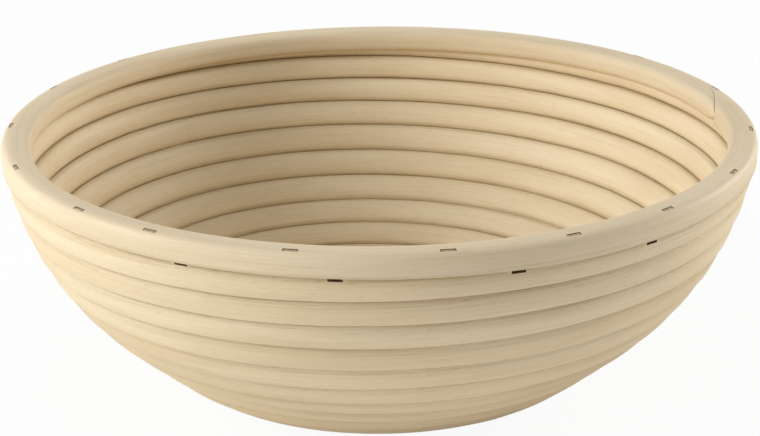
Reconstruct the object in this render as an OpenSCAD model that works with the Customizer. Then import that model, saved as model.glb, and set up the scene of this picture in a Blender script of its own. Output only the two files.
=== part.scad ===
// Round proofing basket, coiled from split rattan cane and finished with a wide cane hoop.
// One spiral of cane runs from the middle of the base to the underside of the rim. It is made of
// several lengths joined by scarfs, and each course is stapled to the course below it.
// Origin: centre of the underside. +Z is up, and the front of the basket looks along -Y.

/* [Basket] */
// Outside diameter over the rim
outer_d = 250; // [200:1:320]
// Height from the table to the top of the rim
height = 87; // [70:0.5:110]
// Slope of the wall where it meets the rim, from the horizontal
top_slope = 80; // [74:1:84]
// Slope of the straight lower wall, from the horizontal
lower_slope = 40; // [32:1:46]
// Length of the straight lower wall
lower_len = 20; // [5:1:25]
// Radius of the bend from the base to the wall
corner_r = 40; // [30:1:50]

/* [Cane] */
// Usual width of one course, measured along the wall
cane_w = 9.3; // [7:0.1:12]
// Thickness of the cane between its two crests
cane_t = 6.2; // [4.5:0.1:7]
// Height of the rounded crest on the outside of the cane
outer_crown = 0.9; // [0.4:0.1:1.2]
// Height of the rounded crest on the inside of the cane
inner_crown = 1.5; // [0.6:0.1:1.8]
// How far the courses' edges wander as the natural cane gets wider and narrower
width_swing = 1.5; // [0:0.1:1.6]
// Turn of the cane that pushes its lower edge out past the course below
lap_turn = 4; // [0:1:6]
// Depth sanded off the underside, so that the basket stands flat
sanded = 0.3; // [0.1:0.1:0.5]
// Radius of the eye in the middle of the base
eye_r = 1.6; // [1:0.1:4]
// Width left on the last course where it runs out under the rim
tip_w = 0.8; // [0.5:0.1:3]

/* [Rim] */
// Width of the rim hoop across the top
rim_w = 9.8; // [9:0.1:12]
// Height of the rim hoop above the last course
rim_h = 7.8; // [6:0.1:10]
// How square the corners of the rim hoop are, where 2 is an oval
rim_square = 3.4; // [2.4:0.1:5]

/* [Staples] */
// Width of a staple's crown
crown_w = 4.4; // [3.5:0.1:6]
// Width of the staple wire, across the cane
wire_w = 1; // [0.6:0.1:1.3]
// Thickness of the staple wire
wire_t = 0.6; // [0.4:0.1:0.8]
// Length of a staple's legs
leg_l = 13; // [12:0.5:16]
// Depth of the top of a crown below the surface of the cane
sink = 0.35; // [0.1:0.05:0.8]
// Number of staples round the rim hoop
rim_staples_n = 18; // [10:1:24]
// Number of staples round the last course, just under the rim
course_staples_n = 15; // [8:1:20]
// Number of staples in one half turn of the wall
wall_staples_n = 5; // [2:1:6]
// Number of staples in one half turn of the base
base_staples_n = 3; // [2:1:3]

/* [Clearances] */
// Gap between one course and the next
course_gap = 0.22; // [0.2:0.01:0.4]
// Gap between the rim hoop and the last course
seat_gap = 0.05; // [0.02:0.01:0.2]
// Gap in a scarf between two lengths of cane
scarf_gap = 0.1; // [0.05:0.01:0.2]
// Clearance round the wire in its slot
wire_gap = 0.1; // [0.05:0.01:0.2]

/* [Joints in the cane] */
// Length of a scarf along the cane
scarf_l = 28; // [20:1:32]
// Courses above the base eye at which the base coil ends
base_courses = 5; // [3:1:5]
// Courses in the lower wall length
lower_courses = 4; // [2:1:4]
// Courses in the middle wall length
middle_courses = 4; // [2:1:4]

/* [Hidden] */
$fn = 96;
cane_colour = "#E6D6B2";
rim_colour = "#EADBB9";
steel_colour = "#7C776C";
far = 400;

// Profile of the middle of the cane, from the axis out to the rim seat: flat base, bend, straight
// lower wall, curved upper wall. dist is the distance along it.
rim_inset = 0.9;
seat_z = height - rim_h;
mid_r = outer_d / 2 - rim_inset - cane_t / 2 * sin(top_slope);
mid_z = cane_t / 2 - sanded;
rise = seat_z - mid_z + cane_t / 2 * cos(top_slope);
bend_rise = corner_r * (1 - cos(lower_slope));
wall_r = (rise - bend_rise - lower_len * sin(lower_slope)) / (cos(lower_slope) - cos(top_slope));
wall_reach = wall_r * (sin(top_slope) - sin(lower_slope));
flat_r = mid_r - wall_reach - lower_len * cos(lower_slope) - corner_r * sin(lower_slope);
bend_end = flat_r + corner_r * lower_slope * PI / 180;
wall_start = bend_end + lower_len;
wall_end = wall_start + wall_r * (top_slope - lower_slope) * PI / 180;

function slope_at(dist) =
    dist < flat_r ? 0
    : dist < bend_end ? (dist - flat_r) / corner_r * 180 / PI
    : dist < wall_start ? lower_slope
    : min(top_slope, lower_slope + (dist - wall_start) / wall_r * 180 / PI);

function bend_point(slope) = [
    flat_r + corner_r * sin(slope),
    mid_z + corner_r * (1 - cos(slope))
];
function along(slope, step) = step * [cos(slope), sin(slope)];
function wall_point(slope) =
    bend_point(lower_slope) + along(lower_slope, lower_len)
    + wall_r * [sin(slope) - sin(lower_slope), cos(lower_slope) - cos(slope)];

function point_at(dist) =
    dist < flat_r ? [dist, mid_z]
    : dist < bend_end ? bend_point(slope_at(dist))
    : dist < wall_start ? bend_point(lower_slope) + along(lower_slope, dist - bend_end)
    : wall_point(slope_at(dist)) + along(top_slope, max(0, dist - wall_end));

// The spiral is made of half turns that meet on the X axis. Each is a half circle, tipped so that
// it climbs from one side to the other. The last one ends at -X with tip_w of its width left.
coil_start = cane_w / 2 + eye_r;
coil_end = wall_end + cane_w / 2 - tip_w;
halves = floor(2 * (coil_end - coil_start) / (cane_w + course_gap));
pitch = 2 * (coil_end - coil_start) / halves;
swing_l = 90;
swing_phase = 10;

function even_dist(j) = coil_start + j * pitch / 2;
function dist_of(j) =
    even_dist(j) + width_swing * sin(360 * (coil_end - even_dist(j) - swing_phase) / swing_l);
function side_of(j) = (halves - j) % 2 == 0 ? -1 : 1;
function radius_of(j) = point_at(dist_of(j)).x;
function z_of(j) = point_at(dist_of(j)).y;
function half_r(j) = norm([radius_of(j) + radius_of(j + 1), z_of(j + 1) - z_of(j)]) / 2;
function half_tip(j) = asin((z_of(j + 1) - z_of(j)) / 2 / half_r(j));
function half_slope(j) = (slope_at(dist_of(j)) + slope_at(dist_of(j + 1))) / 2;
function cane_slope(j) = half_slope(j) + lap_turn * sin(half_slope(j));

// A course is as wide as the room that the courses above and below leave it
function room(j) = min(dist_of(j + 2) - dist_of(j), dist_of(j + 3) - dist_of(j + 1));
function course_w(j) = (room(j - 2) + room(j)) / 2 - course_gap;

// Cane section: x is up the wall and y is outwards. The flanks narrow towards the inside, so that
// courses on a bend don't meet there.
flank_in = cane_t / 2 - inner_crown;
flank_taper = flank_in * pitch / corner_r / 2;
crest_power = 2.4;
crest_marks = [-1, -0.62, 0, 0.62, 1];
function crest(x, side_w, crown) = cane_t / 2 - crown * pow(abs(x) / side_w, crest_power);
function cane_section(course) =
    let (outer_w = course / 2, inner_w = course / 2 - flank_taper)
    concat(
        [for (c = crest_marks) [c * outer_w, crest(c * outer_w, outer_w, outer_crown)]],
        [for (c = crest_marks) [-c * inner_w, -crest(c * inner_w, inner_w, inner_crown)]]
    );

// Canes run from one half turn to another. Each scarf lies in the rear half of its course.
function rear(j) = side_of(j) == 1 ? j : j + 1;
first_scarf = rear(2 * base_courses);
second_scarf = rear(first_scarf + 2 * lower_courses);
third_scarf = rear(second_scarf + 2 * middle_courses);
scarf_turns = [105, 40, 130];
bend_half = floor((flat_r - coil_start) / pitch * 2) + 1;

function scarf_angle(j) = scarf_l / half_r(j) * 180 / PI;

// Puts its children at an angle round half turn j
module on_half(j, turn = 0) {
    centre_x = side_of(j) * (radius_of(j) - radius_of(j + 1)) / 2;
    translate([centre_x, 0, (z_of(j) + z_of(j + 1)) / 2])
        rotate([0, 0, side_of(j) == 1 ? 0 : 180])
            rotate([0, half_tip(j), 0])
                rotate([0, 0, turn])
                    children();
}

// Cane of half turn j, from the X axis to an angle
module half_turn(j, to = 180) {
    on_half(j)
        rotate_extrude(angle = to)
            translate([half_r(j), 0])
                rotate(cane_slope(j))
                    mirror([0, 1])
                        polygon(cane_section(course_w(j)));
}

// Block on the inner (1) or outer (-1) side of the scarf that starts at an angle on half turn j
scarf_back = 1.4;
scarf_over = 7;
module scarf_block(j, turn, side) {
    inner = half_r(j) - cane_t / 2;
    outer = half_r(j) + cane_t / 2;
    reach = outer * sin(scarf_angle(j));
    lift = outer * cos(scarf_angle(j)) - inner;
    depth = 2 * cane_t;
    on_half(j, turn)
        translate([inner, 0, 0])
            rotate([0, 0, 90 - atan2(lift, reach)])
                translate([-scarf_back, side > 0 ? -scarf_gap / 2 : scarf_gap / 2 - depth, -cane_w])
                    cube([scarf_back + scarf_l + scarf_over, depth, 2 * cane_w]);
}

// Length of cane between two scarfs. A turn under 0 means that the length has no scarf there.
module cane_length(first, last, first_turn, last_turn) {
    difference() {
        half_turn(first);
        if (first_turn >= 0) {
            on_half(first, first_turn)
                translate([-far, -far, -far])
                    cube([2 * far, far, 2 * far]);
            scarf_block(first, first_turn, -1);
        }
    }
    for (j = [first + 1 : last - 1])
        half_turn(j);
    if (last_turn >= 0)
        difference() {
            half_turn(last, last_turn + scarf_angle(last));
            scarf_block(last, last_turn, 1);
        }
}

// One staple, crown along Y and legs down -Z, with its top face at z = 0. grow is a clearance all
// round, and mouth opens the crown's slot upwards.
module staple(grow = 0, mouth = 0) {
    translate([-wire_w / 2 - grow, -crown_w / 2 - grow, -wire_t - grow])
        cube([wire_w + 2 * grow, crown_w + 2 * grow, wire_t + grow + mouth]);
    for (s = [-1, 1])
        translate([-wire_w / 2 - grow, s * (crown_w - wire_t) / 2 - wire_t / 2 - grow, -leg_l - grow])
            cube([wire_w + 2 * grow, wire_t + 2 * grow, leg_l]);
}

// Hidden staples are staggered, so that those of one course miss those of the course below
stagger = [0.3, 0.75];
function in_base(j) = j < bend_half;
function staple_turns(j) =
    let (count = in_base(j) ? base_staples_n : wall_staples_n, step = 180 / count)
    [for (k = [0 : count - 1]) (k + stagger[floor(j / 2) % 2]) * step];

// Staples of one half turn, driven down through the course from its upper flank
module half_staples(j, grow = 0, mouth = 0) {
    for (turn = staple_turns(j))
        on_half(j, turn)
            translate([half_r(j), 0, 0])
                rotate([0, 90 - cane_slope(j), 0])
                    translate([0, 0, course_w(j) / 2 - sink])
                        staple(grow, mouth);
}

module course_staples(first, last, grow = 0, mouth = 0) {
    for (j = [first : last])
        half_staples(j, grow, mouth);
}

// Staples are driven by hand, so each strays from even spacing by its share of a step
function stray(shift, k) = k + shift[k % len(shift)];

// Staples driven down from the top of the last course, close to its outer edge
outer_skin = 1.7;
top_inset = wire_w / 2 + outer_skin;
top_phase = -96;
top_shift = [0, 0.03, -0.06, 0.05, 0.1, -0.08, 0, 0.06, -0.1, 0.04, -0.05, 0.08, 0, -0.04, 0.08];
module under_rim_staples(grow = 0, mouth = 0) {
    for (k = [0 : course_staples_n - 1])
        rotate([0, 0, top_phase + stray(top_shift, k) * 360 / course_staples_n])
            translate([outer_d / 2 - rim_inset - top_inset, 0, seat_z - seat_gap - sink])
                rotate([0, 90 - top_slope + lap_turn, 0]) {
                    staple(grow, mouth);
                    if (mouth > 0)
                        translate([0, -crown_w / 2 - grow, -wire_t - grow])
                            cube([2 * top_inset, crown_w + 2 * grow, wire_t + grow + mouth]);
                }
}

// Staples driven down through the outer shoulder of the rim hoop
shoulder_in = 2.2;
shoulder_drop = 0.25;
rim_phase = -102;
rim_shift = [
    0, 0.05, -0.05, -0.2, -0.22, -0.15, -0.05, 0.05, 0.1,
    0, -0.1, 0.05, 0.1, 0.05, 0.1, 0.15, 0.25, -0.05
];
module shoulder_staples(grow = 0, mouth = 0) {
    for (k = [0 : rim_staples_n - 1])
        rotate([0, 0, rim_phase + stray(rim_shift, k) * 360 / rim_staples_n])
            translate([outer_d / 2 - shoulder_in, 0, height - shoulder_drop - sink])
                rotate([0, 90 - top_slope + lap_turn, 0])
                    staple(grow, mouth);
}

// The first half turn has no course below it, and the last two are held by the staples under the
// rim. Legs reach down through leg_halves half turns.
first_hidden = 2;
last_hidden = halves - 3;
leg_halves = 2;
slot_mouth = 1;
rim_slot_mouth = 3;

module base_coil_cane() {
    color(cane_colour)
        difference() {
            cane_length(0, first_scarf, -1, scarf_turns[0]);
            translate([-far, -far, -far])
                cube([2 * far, 2 * far, far]);
            course_staples(first_hidden, first_scarf + leg_halves, wire_gap, slot_mouth);
        }
}

module lower_wall_cane() {
    color(cane_colour)
        difference() {
            cane_length(first_scarf, second_scarf, scarf_turns[0], scarf_turns[1]);
            translate([-far, -far, -far])
                cube([2 * far, 2 * far, far]);
            course_staples(first_scarf, second_scarf + leg_halves, wire_gap, slot_mouth);
        }
}

module middle_wall_cane() {
    color(cane_colour)
        difference() {
            cane_length(second_scarf, third_scarf, scarf_turns[1], scarf_turns[2]);
            course_staples(second_scarf, third_scarf + leg_halves, wire_gap, slot_mouth);
            under_rim_staples(wire_gap);
        }
}

module upper_wall_cane() {
    color(cane_colour)
        difference() {
            cane_length(third_scarf, halves, scarf_turns[2], -1);
            translate([-far, -far, seat_z - seat_gap])
                cube([2 * far, 2 * far, far]);
            course_staples(third_scarf, last_hidden, wire_gap, slot_mouth);
            under_rim_staples(wire_gap, slot_mouth);
            shoulder_staples(wire_gap, slot_mouth);
        }
}

module base_staples() {
    color(steel_colour)
        course_staples(first_hidden, first_scarf - 1);
}

module lower_wall_staples() {
    color(steel_colour)
        course_staples(first_scarf, second_scarf - 1);
}

module middle_wall_staples() {
    color(steel_colour)
        course_staples(second_scarf, third_scarf - 1);
}

module upper_wall_staples() {
    color(steel_colour)
        course_staples(third_scarf, last_hidden);
}

module top_course_staples() {
    color(steel_colour)
        under_rim_staples();
}

module rim_staples() {
    color(steel_colour)
        shoulder_staples();
}

// Rim section: a squared oval that is flat where it sits on the last course
oval_points = 28;
oval_half_h = rim_h * 0.54;
function power(value) = sign(value) * pow(abs(value), 2 / rim_square);
function rim_section() =
    [for (k = [0 : oval_points - 1]) let (a = (k + 0.5) * 360 / oval_points)
        [power(cos(a)) * rim_w / 2, (power(sin(a)) - 1) * oval_half_h]];
rim_scarf_turn = 8;
rim_scarf_l = 32;
cut_over = 2;

module rim_hoop() {
    scarf_in = outer_d / 2 - rim_w;
    scarf_step = rim_scarf_l / outer_d * 360 / PI;
    lift = outer_d / 2 * cos(scarf_step) - scarf_in;
    reach = outer_d / 2 * sin(scarf_step);
    color(rim_colour)
        difference() {
            rotate_extrude(angle = 360)
                intersection() {
                    translate([(outer_d - rim_w) / 2, height])
                        polygon(rim_section());
                    translate([0, seat_z])
                        square([outer_d, rim_h]);
                }
            rotate([0, 0, rim_scarf_turn])
                translate([scarf_in, 0, seat_z - cut_over])
                    rotate([0, 0, 90 - atan2(lift, reach)])
                        translate([-cut_over, -scarf_gap / 2, 0])
                            cube([norm([lift, reach]) + 2 * cut_over, scarf_gap, rim_h + 2 * cut_over]);
            shoulder_staples(wire_gap, rim_slot_mouth);
        }
}

base_coil_cane();
lower_wall_cane();
middle_wall_cane();
upper_wall_cane();
rim_hoop();
base_staples();
lower_wall_staples();
middle_wall_staples();
upper_wall_staples();
top_course_staples();
rim_staples();
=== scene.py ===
import math

import bpy
from mathutils import Matrix, Vector, noise


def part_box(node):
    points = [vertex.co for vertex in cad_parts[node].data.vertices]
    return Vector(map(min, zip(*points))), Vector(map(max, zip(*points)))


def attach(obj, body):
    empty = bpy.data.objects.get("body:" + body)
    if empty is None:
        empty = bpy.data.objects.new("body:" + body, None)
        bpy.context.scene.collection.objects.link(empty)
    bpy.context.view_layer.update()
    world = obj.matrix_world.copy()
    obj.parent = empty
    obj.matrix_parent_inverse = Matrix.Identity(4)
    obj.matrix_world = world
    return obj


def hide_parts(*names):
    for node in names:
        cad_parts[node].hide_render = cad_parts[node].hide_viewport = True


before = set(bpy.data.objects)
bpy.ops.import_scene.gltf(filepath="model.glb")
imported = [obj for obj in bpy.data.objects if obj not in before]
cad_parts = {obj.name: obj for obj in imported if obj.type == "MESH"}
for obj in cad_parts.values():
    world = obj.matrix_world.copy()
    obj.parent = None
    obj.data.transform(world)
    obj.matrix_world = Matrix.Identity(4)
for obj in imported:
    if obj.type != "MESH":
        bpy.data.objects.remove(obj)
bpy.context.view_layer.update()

bpy.ops.object.select_all(action="DESELECT")


# ---- Base coil ----
# One length of split rattan cane, steamed and wound flat from the eye in the middle of the base,
# then on up the bend. Each course is stapled to the one before, and the underside is sanded flat.

hoop_low, hoop_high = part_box("rim_hoop")
outer_r = round(hoop_high.x, 4)
basket_h = round(hoop_high.z, 4)
seat_z = round(hoop_low.z, 4)

cane_w = 0.0093
cane_t = 0.0062
half_t = cane_t / 2
outer_crown = 0.0009
lower_crown = 0.0005
inner_crown = 0.0015
crest_power = 2.4
sanded = 0.0003
eye_r = 0.0016
tip_w = 0.0008
lap_turn = math.radians(4)
course_gap = 0.00022
press = 0.00003  # how far neighbouring courses sink into each other
rim_inset = 0.0009

# Profile of the middle of the cane: flat base, bend, straight lower wall, curved upper wall
top_slope = math.radians(80)
lower_slope = math.radians(40)
lower_len = 0.020
corner_r = 0.040
mid_r = outer_r - rim_inset - half_t * math.sin(top_slope)
mid_z = half_t - sanded
rise = seat_z - mid_z + half_t * math.cos(top_slope)
bend_rise = corner_r * (1 - math.cos(lower_slope))
wall_rise = rise - bend_rise - lower_len * math.sin(lower_slope)
wall_r = wall_rise / (math.cos(lower_slope) - math.cos(top_slope))
flat_r = (mid_r - wall_r * (math.sin(top_slope) - math.sin(lower_slope))
          - lower_len * math.cos(lower_slope) - corner_r * math.sin(lower_slope))
bend_end = flat_r + corner_r * lower_slope
wall_start = bend_end + lower_len
wall_end = wall_start + wall_r * (top_slope - lower_slope)


def slope_at(dist):
    if dist < flat_r:
        return 0.0
    if dist < bend_end:
        return (dist - flat_r) / corner_r
    if dist < wall_start:
        return lower_slope
    return min(top_slope, lower_slope + (dist - wall_start) / wall_r)


def point_at(dist):
    """Radius and height of the middle of the cane at a distance along the profile."""
    if dist < flat_r:
        return dist, mid_z
    bend = min(slope_at(dist), lower_slope)
    r = flat_r + corner_r * math.sin(bend)
    z = mid_z + corner_r * (1 - math.cos(bend))
    straight = min(max(0.0, dist - bend_end), lower_len)
    r += straight * math.cos(lower_slope)
    z += straight * math.sin(lower_slope)
    if dist > wall_start:
        slope = slope_at(dist)
        over = max(0.0, dist - wall_end)
        r += wall_r * (math.sin(slope) - math.sin(lower_slope)) + over * math.cos(top_slope)
        z += wall_r * (math.cos(lower_slope) - math.cos(slope)) + over * math.sin(top_slope)
    return r, z


# The coil is a chain of tipped half circles that meet on the X axis. Its courses' edges wander a
# little, as natural cane gets wider and narrower.
coil_start = cane_w / 2 + eye_r
coil_end = wall_end + cane_w / 2 - tip_w
halves = math.floor(2 * (coil_end - coil_start) / (cane_w + course_gap))
pitch = 2 * (coil_end - coil_start) / halves
width_swing = 0.0015
swing_l = 0.090
swing_phase = 0.010


def dist_of(j):
    even = coil_start + j * pitch / 2
    return even + width_swing * math.sin(2 * math.pi * (coil_end - even - swing_phase) / swing_l)


half_turns = []
length = 0.0
for j in range(halves):
    side = -1 if (halves - j) % 2 == 0 else 1
    r0, z0 = point_at(dist_of(j))
    r1, z1 = point_at(dist_of(j + 1))
    half_r = math.hypot(r0 + r1, z1 - z0) / 2
    tip = math.asin((z1 - z0) / 2 / half_r)
    half_turns.append({"side": side, "x": side * (r0 - r1) / 2, "z": (z0 + z1) / 2,
                       "r": half_r, "tip": tip, "start": length})
    length += math.pi * half_r


def spread(j, turn):
    """Distance along the profile at a turn round half turn j."""
    share = (1 - math.cos(turn)) / 2
    return dist_of(j) * (1 - share) + dist_of(j + 1) * share


lead_in = 0.01


def strand_length(j, turn):
    """Length along the whole strand at a turn round half turn j, with a short lead into the eye."""
    if j < 0:
        return -lead_in * (2 - turn / math.pi)
    return half_turns[j]["start"] + half_turns[j]["r"] * turn


slow_wander = 0.00042
quick_wander = 0.00010
nick_depth = 0.0006
nick_from = 0.45


def wander(s):
    """How far a course's upper edge strays, at a length along the strand."""
    slow = noise.noise(Vector((s * 9, 0.3, 7.1)))
    quick = noise.noise(Vector((s * 42, 4.7, 2.9)))
    nick = max(0.0, noise.noise(Vector((s * 90, 8.2, 5.4))) - nick_from)
    return slow_wander * slow + quick_wander * quick + nick_depth * nick


# Outline of the cane's section: it starts in the middle of the upper flank, goes down the outside
# and comes back up the inside. The flanks lean by half the bend, so neighbours meet all over.
lower_edge_r = 0.00035
upper_edge_r = 0.00085
inner_edge_r = 0.0008
flank_inset = 0.0019
shaved = 0.00055
lap_from = math.radians(22)
least_lap = 0.25


def face_y(share, outside, lap=shaved):
    """The crowned faces of the cane. Outside, the upper part is shaved back under the next course."""
    crown = inner_crown
    if outside:
        crown = outer_crown if share > 0 else lower_crown
    height = half_t - crown * abs(share) ** crest_power
    return height - lap * ((share + 1) / 2) ** 2 if outside else -height


def corner_points(corner, before, after, steps=4):
    """Points round a corner, in a curve from the point before it to the point after it."""
    points = []
    for k in range(steps):
        t = k / (steps - 1)
        points.append(tuple(before[i] * (1 - t) ** 2 + corner[i] * 2 * t * (1 - t) + after[i] * t * t
                            for i in range(2)))
    return points


def cane_outline(above, below, lean_above=0.0, lean_below=0.0, lap=shaved):
    """Section points (up the wall, outwards) for half widths above and below the middle."""
    def edge(sign, outside):
        y = face_y(sign, outside, lap)
        width = above + y * lean_above if sign > 0 else below + y * lean_below
        return sign * width, y

    def face(sign, outside, inset):
        width = abs(edge(sign, outside)[0])
        share = sign * (1 - inset / width)
        return width * share, face_y(share, outside, lap)

    def flank(sign, outside, inset):
        x, y = edge(sign, outside)
        other_x, other_y = edge(sign, not outside)
        t = inset / abs(other_y - y)
        return x + (other_x - x) * t, y + (other_y - y) * t

    points = [flank(1, True, flank_inset)]
    points += corner_points(edge(1, True), flank(1, True, upper_edge_r), face(1, True, upper_edge_r))
    for k in range(1, 10):
        share = math.cos(math.pi * k / 10)
        sign = 1 if share > 0 else -1
        width = abs(edge(sign, True)[0])
        x = share * (width - (upper_edge_r if share > 0 else lower_edge_r))
        points.append((x, face_y(x / width, True, lap)))
    points += corner_points(edge(-1, True), face(-1, True, lower_edge_r), flank(-1, True, lower_edge_r))
    points.append(flank(-1, True, flank_inset))
    points += corner_points(edge(-1, False), flank(-1, False, inner_edge_r), face(-1, False, inner_edge_r))
    for k in range(1, 8):
        share = -math.cos(math.pi * k / 8)
        width = abs(edge(1 if share > 0 else -1, False)[0])
        x = share * (width - inner_edge_r)
        points.append((x, face_y(x / width, False)))
    points += corner_points(edge(1, False), face(1, False, inner_edge_r), flank(1, False, inner_edge_r))
    points.append(points[0])
    return points


# The points of the outline that lie on the outer face
outer_ks = range(1, 18)
seam_merge = 0.000002
crease = math.radians(38)


def wind_strip(name, rings, around):
    """A closed strand from a flat grid. rings gives each ring's points, its length along the
    strand and its shade round the section; around gives the distances round the section."""
    rows, columns = len(rings) - 1, len(around) - 1
    bpy.ops.mesh.primitive_grid_add(x_subdivisions=rows, y_subdivisions=columns, size=2)
    strand = bpy.context.object
    strand.name = strand.data.name = name
    mesh = strand.data
    places = [(round((v.co.x + 1) / 2 * rows), round((v.co.y + 1) / 2 * columns))
              for v in mesh.vertices]
    for vertex, (row, column) in zip(mesh.vertices, places):
        vertex.co = rings[row][0][column]
    uv = mesh.uv_layers[0]
    uv.name = "strand"
    for loop in mesh.loops:
        row, column = places[loop.vertex_index]
        uv.data[loop.index].uv = (rings[row][1], around[column])
    shade = mesh.attributes.new("shade", "FLOAT", "POINT")
    for vertex, (row, column) in zip(mesh.vertices, places):
        shade.data[vertex.index].value = rings[row][2][column]
    bpy.ops.object.mode_set(mode="EDIT")
    bpy.ops.mesh.select_all(action="SELECT")
    bpy.ops.mesh.remove_doubles(threshold=seam_merge)
    bpy.ops.mesh.select_all(action="DESELECT")
    bpy.ops.mesh.select_mode(type="EDGE")
    bpy.ops.mesh.select_non_manifold(extend=False, use_wire=False, use_multi_face=False,
                                     use_non_contiguous=False, use_verts=False)
    bpy.ops.mesh.edge_face_add()
    bpy.ops.mesh.select_all(action="SELECT")
    bpy.ops.mesh.normals_make_consistent(inside=False)
    bpy.ops.mesh.select_all(action="DESELECT")
    bpy.ops.object.mode_set(mode="OBJECT")
    bpy.ops.object.shade_smooth_by_angle(angle=crease)
    return strand


scarf_l = 0.028
scarf_gap = 0.00005
feather = 0.06
ring_step = 0.0021
ring_turn = 0.03


def wind_cane(name, first, first_turn, last, last_turn, press=press):
    """A length of cane from one scarf to the next. Each end is a half turn and an angle round it,
    and an angle of None means that the cane starts or ends there without a scarf."""
    even = cane_outline(cane_w / 2, cane_w / 2)
    around = [0.0]
    for a, b in zip(even, even[1:]):
        around.append(around[-1] + math.dist(a, b))
    if last_turn is None:
        end_j, end_turn = last - 1, math.pi
    else:
        end_j, end_turn = last, last_turn + scarf_l / half_turns[last]["r"]
    rings = []
    for j in range(first, end_j + 1):
        half = half_turns[j]
        start_turn = (first_turn or 0.0) if j == first else 0.0
        stop_turn = end_turn if j == end_j else math.pi
        step = max(ring_step, ring_turn * half["r"])
        count = max(6, round(half["r"] * (stop_turn - start_turn) / step))
        for k in range(count + 1):
            if k == 0 and j > first:
                continue
            turn = start_turn + (stop_turn - start_turn) * k / count
            rings.append(cane_ring(j, turn, first, first_turn, last, last_turn, press))
    return wind_strip(name, rings, around)


knot_swell = 0.00010
knot_spacing = 0.235
knot_offset = 0.07
knot_middle = 0.117
knot_l = 0.004
uneven_by = 0.00007
seat_gap = 0.00005
rim_shade_h = 0.0042


def cane_ring(j, turn, first, first_turn, last, last_turn, press):
    """One ring of the strand: its points, its length along the strand and its shade."""
    half = half_turns[j]
    s = strand_length(j, turn)
    dist = spread(j, turn)
    above = (spread(j + 2, turn) - dist + press) / 2 + wander(s)
    below = (dist - spread(j - 2, turn) + press) / 2 - wander(strand_length(j - 2, turn))
    slope = slope_at(dist)
    lap = shaved * min(1.0, max(least_lap, (slope - lap_from) / (top_slope - lap_from)))
    lean_above = (slope_at(spread(j + 2, turn)) - slope) / 2
    lean_below = (slope - slope_at(spread(j - 2, turn))) / 2
    slope += lap_turn * math.sin(slope) + half["tip"] * math.cos(turn)
    sin_tip, cos_tip, side = math.sin(half["tip"]), math.cos(half["tip"]), half["side"]
    radial = Vector((side * math.cos(turn) * cos_tip, side * math.sin(turn),
                     -math.cos(turn) * sin_tip))
    axis = Vector((side * sin_tip, 0, cos_tip))
    up = radial * math.cos(slope) + axis * math.sin(slope)
    out = radial * math.sin(slope) - axis * math.cos(slope)
    middle = Vector((half["x"], 0, half["z"])) + radial * half["r"]

    # Skived ends: the length that starts here keeps its inside, the one that ends its outside
    keep_in, keep_out = 1.0, 1.0
    if first_turn is not None and j == first:
        keep_in = max(feather, min(1.0, (turn - first_turn) * half["r"] / scarf_l))
    if last_turn is not None and j == last and turn > last_turn:
        keep_out = max(feather, 1 - (turn - last_turn) * half["r"] / scarf_l)

    # Knots swell the cane a little, and it is never quite even
    from_knot = (s + knot_offset) % knot_spacing - knot_middle
    knot = knot_swell * math.exp(-(from_knot / knot_l) ** 2)
    points, shades = [], []
    for k, (x, y) in enumerate(cane_outline(above, below, lean_above, lean_below, lap)):
        width = above if x > 0 else below
        share = max(-1.0, min(1.0, x / width))
        y_out, y_in = face_y(share, True, lap), face_y(share, False)
        if keep_in < 1:
            y = y_in + (y - y_in) * keep_in - scarf_gap
        if keep_out < 1:
            y = y_out + (y - y_out) * keep_out + scarf_gap
        uneven = noise.noise(Vector((s * 28, share * 0.9, 3.3))) * uneven_by + knot
        y += uneven if y > 0 else -uneven
        spot = middle + up * x + out * y
        if spot.z > seat_z - seat_gap:
            spot -= up * ((spot.z - seat_z + seat_gap) / up.z)
        spot.z = max(spot.z, 0.0)
        points.append(spot)
        # Painted shade: each band darker in its upper part under the course above, a dark line at its
        # lower edge and a painted shadow under the rim; elsewhere the sides darken towards the grooves.
        if k in outer_ks:
            under = max(0.0, (share + 0.35) / 1.35) ** 1.8 * (0.35 + 0.65 * lap / shaved)
            rim_shade = max(0.0, 1 - (seat_z - spot.z) / rim_shade_h) ** 1.4
            lower_edge = max(0.0, (-share - 0.95) / 0.05) * 0.5
            shades.append(max(under, rim_shade, lower_edge))
        else:
            shades.append(max(0.0, (abs(share) - 0.55) / 0.45) ** 1.5)
    return points, s, shades


blotch_brown = (0.50, 0.33, 0.16, 1)
fleck_brown = (0.36, 0.25, 0.13, 1)
pore_brown = (0.30, 0.20, 0.10, 1)
speck_brown = (0.16, 0.09, 0.04, 1)


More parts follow.
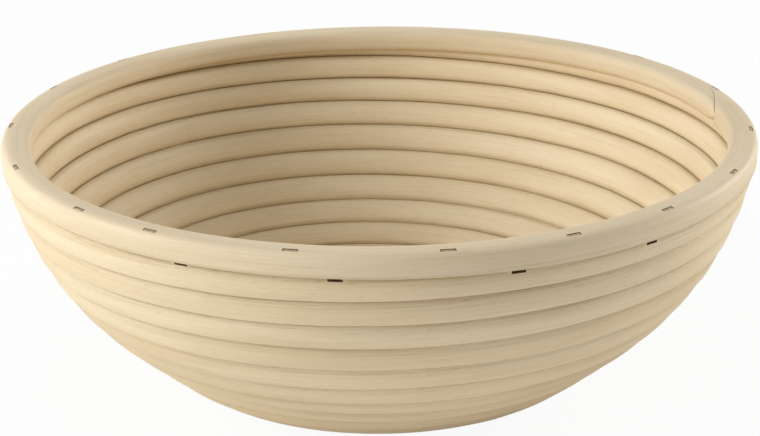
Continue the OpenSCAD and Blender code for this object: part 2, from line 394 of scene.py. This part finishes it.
def cane_finish(name, pale, deep, fibre_and_shade_colour, depth=1.0):
    """Bare bleached cane: fibres along the strand, slow changes of tone, pores, and painted shade."""
    finish = bpy.data.materials.new(name)
    finish.use_nodes = True
    nodes, links = finish.node_tree.nodes, finish.node_tree.links
    surface = nodes["Principled BSDF"]
    uv = nodes.new("ShaderNodeUVMap")
    uv.uv_map = "strand"

    def strand_noise(along, across, detail=2.0, roughness=0.5, offset=0.0):
        mapping = nodes.new("ShaderNodeMapping")
        mapping.inputs["Scale"].default_value = (along, across, 1)
        mapping.inputs["Location"].default_value = (offset, offset * 0.7, 0)
        pattern = nodes.new("ShaderNodeTexNoise")
        pattern.inputs["Scale"].default_value = 1
        pattern.inputs["Detail"].default_value = detail
        pattern.inputs["Roughness"].default_value = roughness
        links.new(uv.outputs["UV"], mapping.inputs["Vector"])
        links.new(mapping.outputs["Vector"], pattern.inputs["Vector"])
        return pattern.outputs["Fac"]

    def ramp(value, low, high, to_low=0.0, to_high=1.0):
        node = nodes.new("ShaderNodeMapRange")
        node.inputs["From Min"].default_value = low
        node.inputs["From Max"].default_value = high
        node.inputs["To Min"].default_value = to_low
        node.inputs["To Max"].default_value = to_high
        node.interpolation_type = "SMOOTHSTEP"
        links.new(value, node.inputs["Value"])
        return node.outputs["Result"]

    def blend(factor, first, second):
        node = nodes.new("ShaderNodeMix")
        node.data_type = "RGBA"
        for label, kind, value in (("Factor", "VALUE", factor), ("A", "RGBA", first),
                                   ("B", "RGBA", second)):
            socket = [i for i in node.inputs if i.name == label and i.type == kind][0]
            if isinstance(value, tuple):
                socket.default_value = value
            else:
                links.new(value, socket)
        return [o for o in node.outputs if o.type == "RGBA"][0]

    def combine(a, b, operation="ADD"):
        node = nodes.new("ShaderNodeMath")
        node.operation = operation
        for socket, value in zip(node.inputs, (a, b)):
            if isinstance(value, float):
                socket.default_value = value
            else:
                links.new(value, socket)
        return node.outputs[0]

    # Patterns, from the slowest change of tone to single pores and specks
    tone = strand_noise(11, 90, 3, 0.55)
    wide_fibre = strand_noise(22, 1100, 2, 0.6, 3.0)
    fine_fibre = strand_noise(70, 4200, 3, 0.65, 11.0)
    blotch = strand_noise(60, 260, 2, 0.5, 23.0)
    pore = strand_noise(420, 5200, 1, 0.4, 31.0)
    speck = strand_noise(500, 900, 1, 0.5, 47.0)
    fleck = strand_noise(230, 2300, 2, 0.6, 61.0)

    colour = blend(ramp(tone, 0.32, 0.68), pale, deep)
    colour = blend(ramp(wide_fibre, 0.48, 0.76, 0.0, 0.14), colour, fibre_and_shade_colour)
    colour = blend(ramp(fine_fibre, 0.50, 0.80, 0.0, 0.16), colour, fibre_and_shade_colour)
    colour = blend(ramp(blotch, 0.64, 0.80, 0.0, 0.14), colour, blotch_brown)
    colour = blend(ramp(pore, 0.70, 0.78, 0.0, 0.40), colour, pore_brown)
    colour = blend(ramp(speck, 0.80, 0.84, 0.0, 0.65), colour, speck_brown)
    # Painted shade: the shade attribute darkens the colour towards the fibre and shade colour, broken up
    # by the wide fibres.
    shade = nodes.new("ShaderNodeAttribute")
    shade.attribute_name = "shade"
    painted_shade = combine(shade.outputs["Fac"], ramp(wide_fibre, 0.32, 0.68, 0.45, 1.0), "MULTIPLY")
    colour = blend(combine(painted_shade, 0.78, "MULTIPLY"), colour, fibre_and_shade_colour)
    # Dark flecks in the cane, laid only where the painted shade lies: partly real marks and partly painted
    # shade.
    near_painted_shade = ramp(shade.outputs["Fac"], 0.0, 0.6, 0.12, 1.0)
    flecks_in_shade = combine(ramp(fleck, 0.59, 0.72, 0.0, 0.45), near_painted_shade, "MULTIPLY")
    colour = blend(flecks_in_shade, colour, fleck_brown)
    links.new(colour, surface.inputs["Base Color"])

    rough = ramp(fine_fibre, 0.30, 0.75, 0.50, 0.68)
    links.new(rough, surface.inputs["Roughness"])
    surface.inputs["Specular IOR Level"].default_value = 0.35

    relief = combine(combine(fine_fibre, 0.45, "MULTIPLY"), wide_fibre)
    relief = combine(relief, ramp(pore, 0.70, 0.80, 0.0, 1.1), "SUBTRACT")
    relief = combine(relief, ramp(speck, 0.80, 0.84, 0.0, 1.5), "SUBTRACT")
    relief = combine(relief, combine(blotch, 0.8, "MULTIPLY"))
    relief = combine(relief, combine(flecks_in_shade, 1.2, "MULTIPLY"), "SUBTRACT")
    bump = nodes.new("ShaderNodeBump")
    bump.inputs["Strength"].default_value = 0.55 * depth
    bump.inputs["Distance"].default_value = 0.00012
    links.new(relief, bump.inputs["Height"])
    links.new(bump.outputs["Normal"], surface.inputs["Normal"])
    return finish


cane = cane_finish("bleached_cane", pale=(0.83, 0.69, 0.47, 1), deep=(0.76, 0.61, 0.39, 1),
                   fibre_and_shade_colour=(0.40, 0.29, 0.14, 1))

# The coil starts at the eye and ends in a scarf on the bend
base_scarf = (10, math.radians(105))
base_cane = wind_cane("base_coil", 0, None, *base_scarf)
base_cane.data.materials.append(cane)
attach(base_cane, "root")
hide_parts("base_coil_cane")


# ---- Lower wall ----
# The second length of cane, wound outwards on the bend and the straight part of the wall. It is
# scarfed to the base coil, skived over 28 mm and stapled to the course below.

lower_scarf = (18, math.radians(40))
lower_cane = wind_cane("lower_wall", *base_scarf, *lower_scarf)
lower_cane.data.materials.append(cane)
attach(lower_cane, "root")
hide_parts("lower_wall_cane")


# ---- Middle wall ----
# The third length of cane, where the wall begins to steepen. It is the same split cane, scarfed in
# the same way, with the join further round so that no two joins lie above each other.

middle_scarf = (26, math.radians(130))
middle_cane = wind_cane("middle_wall", *lower_scarf, *middle_scarf)
middle_cane.data.materials.append(cane)
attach(middle_cane, "root")
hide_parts("middle_wall_cane")


# ---- Upper wall ----
# The last length of cane, almost upright. Its top course is cut level to seat the rim, and runs out
# to a thin tip under it. The mouths of the staples' slots show along its upper edge. Its courses
# stand a hair apart, so that the slots cut cleanly.

hairline = 0.00004
upper_cane = wind_cane("upper_wall", *middle_scarf, halves, None, press=-hairline)
upper_cane.data.materials.append(cane)
# Painted shadow: the slots' walls get a dark brown that stands for the shade inside them.
slot_dark = bpy.data.materials.new("slot_shadow")
slot_dark.use_nodes = True
slot_nodes, slot_links = slot_dark.node_tree.nodes, slot_dark.node_tree.links
slot_place = slot_nodes.new("ShaderNodeTexCoord")
slot_shadow_noise = slot_nodes.new("ShaderNodeTexNoise")
slot_shadow_noise.inputs["Scale"].default_value = 1400
slot_tones = slot_nodes.new("ShaderNodeValToRGB")
slot_tones.color_ramp.elements[0].position = 0.35
slot_tones.color_ramp.elements[0].color = (0.090, 0.060, 0.022, 1)
slot_tones.color_ramp.elements[1].position = 0.75
slot_tones.color_ramp.elements[1].color = (0.30, 0.21, 0.10, 1)
slot_links.new(slot_place.outputs["Object"], slot_shadow_noise.inputs["Vector"])
slot_links.new(slot_shadow_noise.outputs["Fac"], slot_tones.inputs["Fac"])
slot_links.new(slot_tones.outputs["Color"], slot_nodes["Principled BSDF"].inputs["Base Color"])
slot_nodes["Principled BSDF"].inputs["Roughness"].default_value = 0.85

crown_w = 0.0044
wire_w = 0.001
wire_t = 0.0006
leg_l = 0.013


def staple_places(count, phase, shift, radius, height, lean):
    """Where each staple of a ring stands: crown along the rim, legs down into the wall. phase is
    the first one's angle in degrees, and shift moves each by a share of the spacing."""
    places = []
    for k in range(count):
        angle = math.radians(phase + (k + shift[k % len(shift)]) * 360 / count)
        spot = Matrix.Rotation(angle, 4, "Z") @ Matrix.Translation((radius, 0, height))
        places.append(spot @ Matrix.Rotation(lean, 4, "Y"))
    return places


def join_copies(model, places, name):
    """Copies a finished model to each place, each with its own mesh, and joins them."""
    copies = []
    for place in places:
        copy = model.copy()
        copy.data = model.data.copy()
        copy.data.transform(place)
        bpy.context.collection.objects.link(copy)
        copies.append(copy)
    bpy.data.objects.remove(model)
    bpy.ops.object.select_all(action="DESELECT")
    for copy in copies:
        copy.select_set(True)
    bpy.context.view_layer.objects.active = copies[0]
    bpy.ops.object.join()
    joined = bpy.context.object
    joined.name = joined.data.name = name
    joined.select_set(False)
    return joined


slot_edge_r = 0.00016


def slot_cutter(mouth_x, mouth_z, depth, clear):
    """A staple's crown slot. mouth_x and mouth_z open it outwards and upwards."""
    bpy.ops.mesh.primitive_cube_add(size=1)
    cutter = bpy.context.object
    length_y = crown_w + 2 * clear
    for vertex in cutter.data.vertices:
        co = vertex.co
        x = -(wire_w / 2 + clear) if co.x < 0 else wire_w / 2 + clear + mouth_x
        z = -depth if co.z < 0 else mouth_z
        vertex.co = (x, co.y * length_y, z)
    bpy.ops.object.mode_set(mode="EDIT")
    bpy.ops.mesh.select_all(action="SELECT")
    bpy.ops.mesh.bevel(offset=slot_edge_r, segments=2, affect="EDGES")
    bpy.ops.mesh.select_all(action="DESELECT")
    bpy.ops.object.mode_set(mode="OBJECT")
    cutter.data.materials.append(slot_dark)
    return cutter


cut_merge = 0.0000002


def cut_slots(piece, cutters, touches_itself=False):
    """Cuts all the slots of a piece at once and paints their walls dark, as painted shadow inside them."""
    piece.data.materials.append(slot_dark)
    cut = piece.modifiers.new("slots", "BOOLEAN")
    cut.operation = "DIFFERENCE"
    cut.solver = "EXACT"
    cut.use_self = touches_itself
    cut.object = cutters
    cut.material_mode = "TRANSFER"
    bpy.context.view_layer.objects.active = piece
    bpy.ops.object.modifier_apply(modifier=cut.name)
    bpy.data.objects.remove(cutters)
    piece.select_set(True)
    bpy.ops.object.mode_set(mode="EDIT")
    bpy.ops.mesh.select_all(action="SELECT")
    bpy.ops.mesh.remove_doubles(threshold=cut_merge)
    bpy.ops.mesh.normals_make_consistent(inside=False)
    bpy.ops.mesh.select_all(action="DESELECT")
    bpy.ops.object.mode_set(mode="OBJECT")
    bpy.ops.object.shade_smooth_by_angle(angle=crease)
    piece.select_set(False)


staple_lean = math.pi / 2 - top_slope + lap_turn
outer_skin = 0.0017
top_inset = wire_w / 2 + outer_skin
top_shift = [0, 0.03, -0.06, 0.05, 0.1, -0.08, 0, 0.06, -0.1, 0.04, -0.05, 0.08, 0, -0.04, 0.08]
top_sink = 0.00012
top_r = outer_r - rim_inset - top_inset
top_count, top_phase = 15, -96
top_places = staple_places(top_count, top_phase, top_shift, top_r, seat_z - top_sink, staple_lean)
mouth_places = staple_places(top_count, top_phase, top_shift, top_r, seat_z - top_sink, 0)
top_slot = slot_cutter(mouth_x=2 * top_inset, mouth_z=0.001, depth=0.00125, clear=0.00005)
cut_slots(upper_cane, join_copies(top_slot, mouth_places, "cutters"), touches_itself=True)
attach(upper_cane, "root")
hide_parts("upper_wall_cane")


# ---- Hidden staples ----
# Galvanised wire staples, driven by hand from the upper edge of each course down into the course
# below. They lie between the courses, and the next course covers them. Here the model's staples
# keep their shape and only get the wire's finish; no slots are cut for them in the canes.

steel = bpy.data.materials.new("dull_staple_wire")
steel.use_nodes = True
steel_nodes, steel_links = steel.node_tree.nodes, steel.node_tree.links
steel_place = steel_nodes.new("ShaderNodeTexCoord")
steel_patch = steel_nodes.new("ShaderNodeTexNoise")
steel_patch.inputs["Scale"].default_value = 900
steel_patch.inputs["Detail"].default_value = 4
steel_tones = steel_nodes.new("ShaderNodeValToRGB")
steel_tones.color_ramp.elements[0].position = 0.35
steel_tones.color_ramp.elements[0].color = (0.28, 0.20, 0.11, 1)
steel_tones.color_ramp.elements[1].position = 0.66
steel_tones.color_ramp.elements[1].color = (0.60, 0.48, 0.31, 1)
steel_rough = steel_nodes.new("ShaderNodeMapRange")
steel_rough.inputs["To Min"].default_value = 0.40
steel_rough.inputs["To Max"].default_value = 0.75
steel_bump = steel_nodes.new("ShaderNodeBump")
steel_bump.inputs["Strength"].default_value = 0.3
steel_bump.inputs["Distance"].default_value = 0.00004
steel_links.new(steel_place.outputs["Object"], steel_patch.inputs["Vector"])
steel_links.new(steel_patch.outputs["Fac"], steel_tones.inputs["Fac"])
steel_links.new(steel_patch.outputs["Fac"], steel_rough.inputs["Value"])
steel_links.new(steel_patch.outputs["Fac"], steel_bump.inputs["Height"])
steel_links.new(steel_tones.outputs["Color"], steel_nodes["Principled BSDF"].inputs["Base Color"])
steel_links.new(steel_rough.outputs["Result"], steel_nodes["Principled BSDF"].inputs["Roughness"])
steel_links.new(steel_bump.outputs["Normal"], steel_nodes["Principled BSDF"].inputs["Normal"])
steel_nodes["Principled BSDF"].inputs["Metallic"].default_value = 0.15

for node in ("base_staples", "lower_wall_staples", "middle_wall_staples", "upper_wall_staples"):
    for material_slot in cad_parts[node].material_slots:
        material_slot.material = steel


# ---- Staples under the rim ----
# The same staples in the top course, close to its outer edge. The rim covers them from above, and
# their crowns show at the mouths of their slots.

wire_edge_r = 0.00012


def bent_staple():
    """One wire staple: a crown, two legs drawn down from its ends, and rounded edges."""
    bpy.ops.mesh.primitive_cube_add(size=1)
    wire = bpy.context.object
    for vertex in wire.data.vertices:
        co = vertex.co
        vertex.co = (co.x * wire_w, co.y * (crown_w - 2 * wire_t), -wire_t / 2 + co.z * wire_t)
    bpy.ops.object.mode_set(mode="EDIT")
    bpy.ops.mesh.select_mode(type="FACE")
    for end in (-1, 1):
        bpy.ops.mesh.select_all(action="DESELECT")
        bpy.ops.object.mode_set(mode="OBJECT")
        for face in wire.data.polygons:
            face.select = face.normal.y * end > 0.9 and face.center.y * end > 0
        bpy.ops.object.mode_set(mode="EDIT")
        bpy.ops.mesh.extrude_region_move(TRANSFORM_OT_translate={"value": (0, end * wire_t, 0)})
        bpy.ops.mesh.select_all(action="DESELECT")
        bpy.ops.object.mode_set(mode="OBJECT")
        for face in wire.data.polygons:
            face.select = face.normal.z < -0.9 and face.center.y * end > crown_w / 2 - wire_t
        bpy.ops.object.mode_set(mode="EDIT")
        bpy.ops.mesh.extrude_region_move(TRANSFORM_OT_translate={"value": (0, 0, wire_t - leg_l)})
    bpy.ops.mesh.select_all(action="SELECT")
    bpy.ops.mesh.dissolve_limited(angle_limit=math.radians(1))
    bpy.ops.mesh.bevel(offset=wire_edge_r, segments=2, affect="EDGES", clamp_overlap=True)
    bpy.ops.mesh.select_all(action="DESELECT")
    bpy.ops.object.mode_set(mode="OBJECT")
    bpy.ops.object.shade_smooth_by_angle(angle=math.radians(50))
    wire.data.materials.append(steel)
    return wire


top_staples = join_copies(bent_staple(), top_places, "top_course_wires")
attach(top_staples, "root")
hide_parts("top_course_staples")


# ---- Rim hoop ----
# One stout strand of shaved cane, bent to a hoop on top of the last course. Its ends are skived and
# lapped over 32 mm on the right, and it is stapled down through its rounded outer shoulder.

rim_w = 0.0098
rim_h = basket_h - seat_z
rim_square = 3.4
oval_half_h = rim_h * 0.54
rim_mid_r = outer_r - rim_w / 2
rim_scarf_turn = math.radians(8)
rim_scarf_l = 0.032
rim_foot_r = 0.0004
foot_draw = 0.0002
sole_half = 0.0015
ridge_x = 0.0014
top_tilt = 0.0004


def rim_side(z, outside):
    """How far the side of the rim stands from the middle of the hoop, at a height below its top."""
    from_middle = z + oval_half_h
    if outside and from_middle < 0:
        return rim_w / 2 - foot_draw * (from_middle / oval_half_h) ** 2
    share = min(1.0, abs(from_middle) / oval_half_h)
    return rim_w / 2 * max(0.0, 1 - share ** rim_square) ** (1 / rim_square)


def rim_half_height(x):
    """Half the height of the rim's oval, at a distance across it."""
    return oval_half_h * (1 - abs(2 * x / rim_w) ** rim_square) ** (1 / rim_square)


rim_outline = []
top_steps = 30
for k in range(top_steps + 1):
    a = math.pi * k / top_steps
    x = math.copysign(abs(math.cos(a)) ** (2 / rim_square), -math.cos(a)) * rim_w / 2
    z = (math.sin(a) ** (2 / rim_square) - 1) * oval_half_h
    rim_outline.append((x, z))
foot_z = -rim_h + rim_foot_r
for k in range(1, 5):
    z = -oval_half_h + (foot_z + oval_half_h) * k / 4
    rim_outline.append((rim_side(z, True), z))
foot_x = rim_side(-rim_h, True)
rim_outline += corner_points((foot_x, -rim_h), (rim_side(foot_z, True), foot_z),
                             (foot_x - rim_foot_r, -rim_h))[1:]
rim_outline += [(sole_half, -rim_h), (-sole_half, -rim_h)]
inner_foot = -rim_side(-rim_h, False)
rim_outline += corner_points((inner_foot, -rim_h), (inner_foot + rim_foot_r, -rim_h),
                             (-rim_side(foot_z, False), foot_z))
for k in range(1, 4):
    z = foot_z + (-oval_half_h - foot_z) * k / 4
    rim_outline.append((-rim_side(z, False), z))
rim_outline.append(rim_outline[0])


thin_end = 0.05
tongue_share = 0.34
rim_swell = 0.02
rim_hollow = 0.00012
rim_waver = 0.004
steady_h = 0.0007
foot_dark_from = 0.0058
face_from = 0.0006
shade_fade = 0.0008


def rim_ring(angle):
    """One ring of the hoop. Its start is skived on the inside of the scarf, in a rounded tongue,
    and its end on the outside."""
    s = angle * rim_mid_r
    start = (angle - rim_scarf_turn) * outer_r / rim_scarf_l
    end = (angle - 2 * math.pi - rim_scarf_turn) * outer_r / rim_scarf_l
    points, shades = [], []
    for x, z in rim_outline:
        if start < 1:
            line = -rim_w / 2 + rim_w * max(thin_end, start) - scarf_gap
            if x > line:
                x = line
                limit = rim_half_height(line)
                z = min(-oval_half_h + limit, max(z, -oval_half_h - limit))
            if start < tongue_share:
                tongue = math.sqrt(max(thin_end, start) / tongue_share)
                z = -oval_half_h + (z + oval_half_h) * tongue
        if end > 0:
            line = -rim_w / 2 + rim_w * min(1 - thin_end, end) + scarf_gap
            if x < line:
                x = line
                limit = rim_half_height(line)
                z = min(-oval_half_h + limit, max(z, -rim_h, -oval_half_h - limit))
        swell = 1 + rim_swell * noise.noise(Vector((s * 7, 1.3, 9.9)))
        dip = rim_hollow * (noise.noise(Vector((s * 22, z * 150, 5.5))) - 0.5)
        r = rim_mid_r + x * swell + (dip if x > 0 else -dip)
        r = min(r, outer_r)
        if z > -oval_half_h:
            z -= top_tilt * max(0.0, ridge_x - x) / rim_w
        z_here = z
        if z > -rim_h + steady_h:
            z_here *= 1 + rim_waver * noise.noise(Vector((s * 9, 6.1, 0.4)))
        points.append(Vector((r * math.cos(angle), r * math.sin(angle), basket_h + min(0.0, z_here))))
        # Painted shade on the rim: its inner top and outer face a little darker, leaving a lighter line
        # along the outer shoulder as a painted highlight; it also darkens towards the foot.
        low = max(0.0, (-z - foot_dark_from) / (rim_h - foot_dark_from))
        tread = max(0.0, min(1.0, (ridge_x - x) / shade_fade)) if z > -oval_half_h * 0.5 else 0.0
        face = max(0.0, min(1.0, (-z - face_from) / shade_fade))
        if x > 0:
            shades.append(max(0.16 * tread, 0.08 * face + 0.30 * low))
        else:
            shades.append(0.10 * tread + 0.5 * low)
    return points, s, shades


rim_turns = 400
rim_end = 2 * math.pi + rim_scarf_l / outer_r
rim_rings = [rim_ring(rim_scarf_turn + rim_end * k / rim_turns) for k in range(rim_turns + 1)]
rim_around = [0.0]
for a, b in zip(rim_outline, rim_outline[1:]):
    rim_around.append(rim_around[-1] + math.dist(a, b))
hoop = wind_strip("rim_cane", rim_rings, rim_around)
rim_cane = cane_finish("shaved_rim_cane", pale=(0.79, 0.655, 0.45, 1), deep=(0.73, 0.59, 0.385, 1),
                       fibre_and_shade_colour=(0.44, 0.32, 0.16, 1), depth=0.8)
hoop.data.materials.append(rim_cane)

shoulder_in = 0.0022
shoulder_drop = 0.00025
rim_shift = [0, 0.05, -0.05, -0.2, -0.22, -0.15, -0.05, 0.05, 0.1,
             0, -0.1, 0.05, 0.1, 0.05, 0.1, 0.15, 0.25, -0.05]
rim_sink = 0.00012
rim_count, rim_phase = 18, -102
rim_places = staple_places(rim_count, rim_phase, rim_shift, outer_r - shoulder_in,
                           basket_h - shoulder_drop - rim_sink, staple_lean)
rim_slot = slot_cutter(mouth_x=0, mouth_z=0.003, depth=0.0011, clear=0.00013)
cut_slots(hoop, join_copies(rim_slot, rim_places, "cutters"))
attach(hoop, "root")
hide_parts("rim_hoop")


# ---- Rim staples ----
# Wire staples driven down through the rim's outer shoulder into the top course. Each crown lies in
# its own slot, a little below the surface.

rim_staples = join_copies(bent_staple(), rim_places, "rim_wires")
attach(rim_staples, "root")
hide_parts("rim_staples")


# ---- Floor ----
# A wide sheet of pale board under the basket. It is not part of the basket.

bpy.ops.mesh.primitive_plane_add(size=8, location=(0, 0, -0.0002))
floor = bpy.context.object
floor.name = floor.data.name = "floor"
board = bpy.data.materials.new("pale_board")
board.use_nodes = True
board_nodes, board_links = board.node_tree.nodes, board.node_tree.links
board_surface = board_nodes["Principled BSDF"]
board_surface.inputs["Roughness"].default_value = 0.8
board_surface.inputs["Base Color"].default_value = (0.92, 0.91, 0.89, 1)
board_surface.inputs["Specular IOR Level"].default_value = 0.1
board_glow = board_nodes.new("ShaderNodeEmission")
board_glow.inputs["Color"].default_value = (1, 1, 1, 1)
board_glow.inputs["Strength"].default_value = 1.0
board_path = board_nodes.new("ShaderNodeLightPath")
board_share = board_nodes.new("ShaderNodeMath")
board_share.operation = "MULTIPLY"
board_share.inputs[1].default_value = 0.93
board_mix = board_nodes.new("ShaderNodeMixShader")
board_links.new(board_path.outputs["Is Camera Ray"], board_share.inputs[0])
board_links.new(board_share.outputs[0], board_mix.inputs["Fac"])
board_links.new(board_surface.outputs["BSDF"], board_mix.inputs[1])
board_links.new(board_glow.outputs["Emission"], board_mix.inputs[2])
board_links.new(board_mix.outputs["Shader"], board_nodes["Material Output"].inputs["Surface"])
floor.data.materials.append(board)


# ---- Light ----
# A large soft lamp from the left front, a weaker one from the right and behind, and a pale room.

room = bpy.data.worlds.new("studio")
bpy.context.scene.world = room
room.use_nodes = True
room_nodes, room_links = room.node_tree.nodes, room.node_tree.links
room_light = room_nodes["Background"]
room_light.inputs["Color"].default_value = (0.95, 0.97, 1.0, 1)
room_light.inputs["Strength"].default_value = 0.47
room_white = room_nodes.new("ShaderNodeBackground")
room_white.inputs["Color"].default_value = (1, 1, 1, 1)
room_white.inputs["Strength"].default_value = 1.0
room_path = room_nodes.new("ShaderNodeLightPath")
room_seen = room_nodes.new("ShaderNodeMath")
room_seen.operation = "MAXIMUM"
room_mix = room_nodes.new("ShaderNodeMixShader")
room_links.new(room_path.outputs["Is Camera Ray"], room_seen.inputs[0])
room_links.new(room_path.outputs["Is Glossy Ray"], room_seen.inputs[1])
room_links.new(room_seen.outputs[0], room_mix.inputs["Fac"])
room_links.new(room_light.outputs["Background"], room_mix.inputs[1])
room_links.new(room_white.outputs["Background"], room_mix.inputs[2])
room_links.new(room_mix.outputs["Shader"], room_nodes["World Output"].inputs["Surface"])


def soft_lamp(name, place, aim, size, watts, colour):
    bpy.ops.object.light_add(type="AREA", location=place)
    lamp = bpy.context.object
    lamp.name = lamp.data.name = name
    lamp.rotation_euler = (Vector(aim) - Vector(place)).to_track_quat("-Z", "Y").to_euler()
    lamp.data.shape = "DISK"
    lamp.data.size = size
    lamp.data.energy = watts
    lamp.data.color = colour


soft_lamp("left_lamp", (-1.40, -0.40, 0.70), (0, 0, 0.04), 0.9, 19.5, (0.975, 0.985, 1.0))
soft_lamp("right_lamp", (1.35, 0.62, 0.42), (0, 0, 0.05), 0.8, 14, (1.0, 0.97, 0.935))


# ---- Camera ----
# A long lens in front of the basket, a little above its rim.

bpy.ops.object.camera_add(location=(0, -0.7157, 0.3113))
camera = bpy.context.object
camera.data.lens = 106.4
camera.data.sensor_width = 36
camera.data.clip_start = 0.05
looks_down = 19.86
roll = -0.5
tilt = Matrix.Rotation(math.radians(90 - looks_down), 4, "X")
camera.rotation_euler = (tilt @ Matrix.Rotation(math.radians(roll), 4, "Z")).to_euler()
bpy.context.scene.camera = camera
bpy.context.scene.view_settings.view_transform = "Standard"
